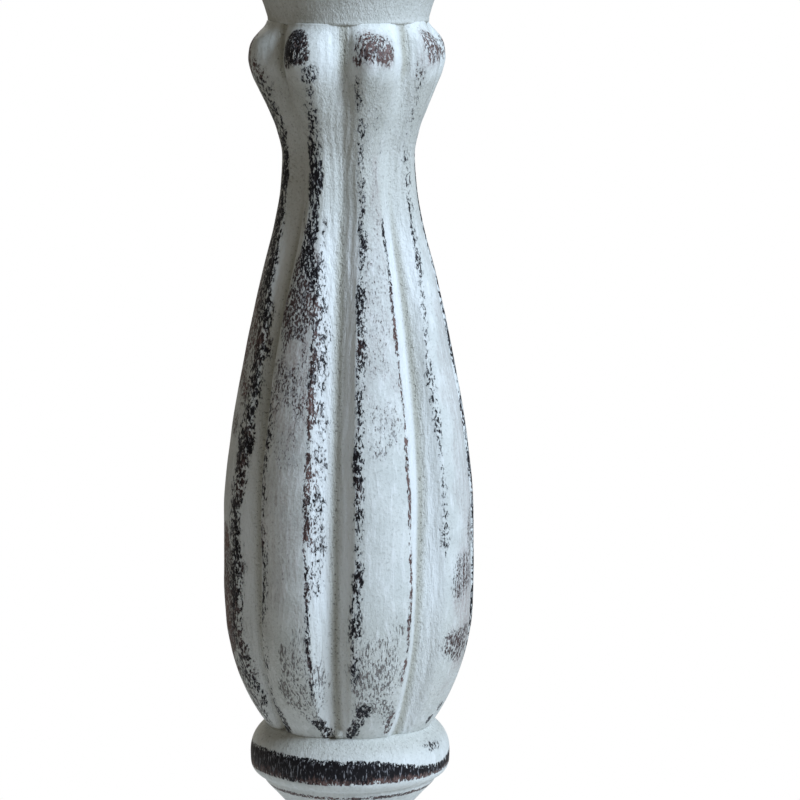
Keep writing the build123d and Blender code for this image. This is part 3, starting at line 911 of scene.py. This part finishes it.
def blackened_steel():
    """Steel sheet and rod, oil-blacked, with lighter rubbed spots."""
    s = Shader("blackened_steel", 0.4, specular=0.5, metallic=0.85)
    cloud = s.noise(s.coordinates, 9, detail=4)
    grit = s.noise(s.coordinates, 0.8, detail=4)
    rub = s.step(s.total(cloud, s.about(grit, 0.5)), 0.56, 0.72)
    colour = s.mix(cloud, (0.030, 0.029, 0.028), (0.060, 0.055, 0.050))
    colour = s.mix(rub, colour, (0.15, 0.135, 0.12))
    return s.done(colour, s.total(0.42, s.about(cloud, 0.35), s.about(grit, 0.1)), grit, 0.03)


def zinc_steel():
    """Zinc-plated screws and washer, faintly mottled."""
    s = Shader("zinc_steel", 0.3, specular=0.5, metallic=1.0)
    mottle = s.noise(s.coordinates, 1.6, detail=4)
    fine = s.noise(s.coordinates, 0.3, detail=2)
    colour = s.mix(mottle, (0.62, 0.62, 0.60), (0.47, 0.46, 0.42))
    return s.done(colour, s.total(0.3, s.about(mottle, 0.25)), fine, 0.01)


def wool_felt():
    """Dark green felt, with matted fibres."""
    s = Shader("wool_felt", 0.95, specular=0.15)
    lying = s.stretched((1, 0.35, 1), turn=(0, 0, 30))
    fibre = s.noise(lying, 0.5, detail=5, roughness=0.75, distortion=1.0)
    tuft = s.noise(s.coordinates, 2.5, detail=4)
    colour = s.mix(fibre, (0.030, 0.050, 0.032), (0.085, 0.120, 0.085))
    colour = s.mix(s.step(tuft, 0.5, 0.7), colour, (0.045, 0.070, 0.047))
    return s.done(colour, s.total(0.92, s.about(fibre, 0.1)), s.total(fibre, tuft), 0.3)


def pale_floor():
    """Matt off-white table top, faintly clouded."""
    s = Shader("pale_floor", 0.8, specular=0.2)
    cloud = s.noise(s.coordinates, 180, detail=2)
    grit = s.noise(s.coordinates, 1.5, detail=2)
    colour = s.mix(cloud, (0.80, 0.80, 0.79), (0.76, 0.76, 0.755))
    return s.done(colour, s.total(0.8, s.about(grit, 0.1)), grit, 0.02)


# ---- put together ----

def place_piece(piece, node, material):
    piece.data.materials.append(material)
    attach(piece, "root")
    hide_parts(node)


def build_object():
    """Detailed pieces in place of the seen CAD nodes, and materials on the CAD nodes that stay."""
    paint = worn_paint()
    for piece, node in (
        (turned_foot(), "foot_disc"), (turned_pedestal(), "pedestal_spindle"),
        (carved_baluster(), "fluted_baluster"), (turned_cup(), "candle_cup"), (turned_pan(), "drip_pan"),
    ):
        place_piece(piece, node, paint)
    steel = blackened_steel()
    place_piece(pressed_tray(), "drip_tray", steel)
    place_piece(forged_spike(), "pricket_spike", steel)
    beech, zinc, felt = bare_beech(), zinc_steel(), wool_felt()
    for node, material in (
        ("pedestal_dowel", beech), ("cup_dowel", beech), ("tray_screws", zinc), ("foot_screw", zinc),
        ("foot_washer", zinc), ("foot_felt", felt),
    ):
        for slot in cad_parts[node].material_slots:
            slot.material = material


def build_floor():
    """Pale round table top, 20 mm thick with a rounded edge."""
    edge = [(300, -20), (318, -18), (320, -10), (318, -2), (310, 0)]
    outline = np.array(edge + [(200, 0), (90, 0), (10, 0)], float)
    floor = skin("pale_table", around_axis(outline[:, :1], full_turn(128), outline[:, 1:]))
    floor.data.materials.append(pale_floor())


def aim(thing, place, target):
    thing.location = place
    thing.rotation_euler = (Vector(target) - Vector(place)).to_track_quat("-Z", "Y").to_euler()


def add_lamp(name, azimuth, elevation, power, colour):
    """Soft round lamp aimed at the object, its azimuth measured to the right of the camera's side."""
    light = bpy.data.lights.new(name, "AREA")
    light.shape = "DISK"
    light.size = LAMP_SIZE * MM
    light.energy = power
    light.color = colour
    lamp = bpy.data.objects.new(name, light)
    bpy.context.scene.collection.objects.link(lamp)
    turn, rise = math.radians(azimuth), math.radians(elevation)
    middle = Vector((0, 0, LAMP_AIM_Z * MM))
    away = Vector((math.sin(turn) * math.cos(rise), -math.cos(turn) * math.cos(rise), math.sin(rise)))
    aim(lamp, middle + away * LAMP_DISTANCE * MM, middle)


def build_light():
    """One large soft lamp from the upper right, a weaker one behind, and an even room light all round.
    The camera sees a white backdrop."""
    add_lamp("key", KEY_AZIMUTH, KEY_ELEVATION, KEY_POWER, KEY_COLOUR)
    add_lamp("back", BACK_AZIMUTH, BACK_ELEVATION, BACK_POWER, BACK_COLOUR)

    world = bpy.data.worlds.new("room")
    bpy.context.scene.world = world
    world.use_nodes = True
    tree = world.node_tree
    tree.nodes.clear()
    out = tree.nodes.new("ShaderNodeOutputWorld")
    room = tree.nodes.new("ShaderNodeBackground")
    room.inputs["Color"].default_value = (*FILL_COLOUR, 1)
    room.inputs["Strength"].default_value = FILL_STRENGTH
    backdrop = tree.nodes.new("ShaderNodeBackground")
    backdrop.inputs["Color"].default_value = (1, 1, 1, 1)
    seen = tree.nodes.new("ShaderNodeLightPath")
    either = tree.nodes.new("ShaderNodeMixShader")
    tree.links.new(seen.outputs["Is Camera Ray"], either.inputs["Fac"])
    tree.links.new(room.outputs["Background"], either.inputs[1])
    tree.links.new(backdrop.outputs["Background"], either.inputs[2])
    tree.links.new(either.outputs["Shader"], out.inputs["Surface"])


def build_camera():
    data = bpy.data.cameras.new("camera")
    data.lens = LENS
    data.sensor_width = 36
    camera = bpy.data.objects.new("camera", data)
    bpy.context.scene.collection.objects.link(camera)
    place = Vector((CAMERA_X, -CAMERA_DISTANCE, CAMERA_Z)) * MM
    target = Vector((CAMERA_X, 0, BALUSTER_Z + AIM_HEIGHT)) * MM
    aim(camera, place, target)
    bpy.context.scene.camera = camera


build_object()
build_floor()
build_light()
build_camera()
bpy.context.scene.view_settings.view_transform = "Standard"
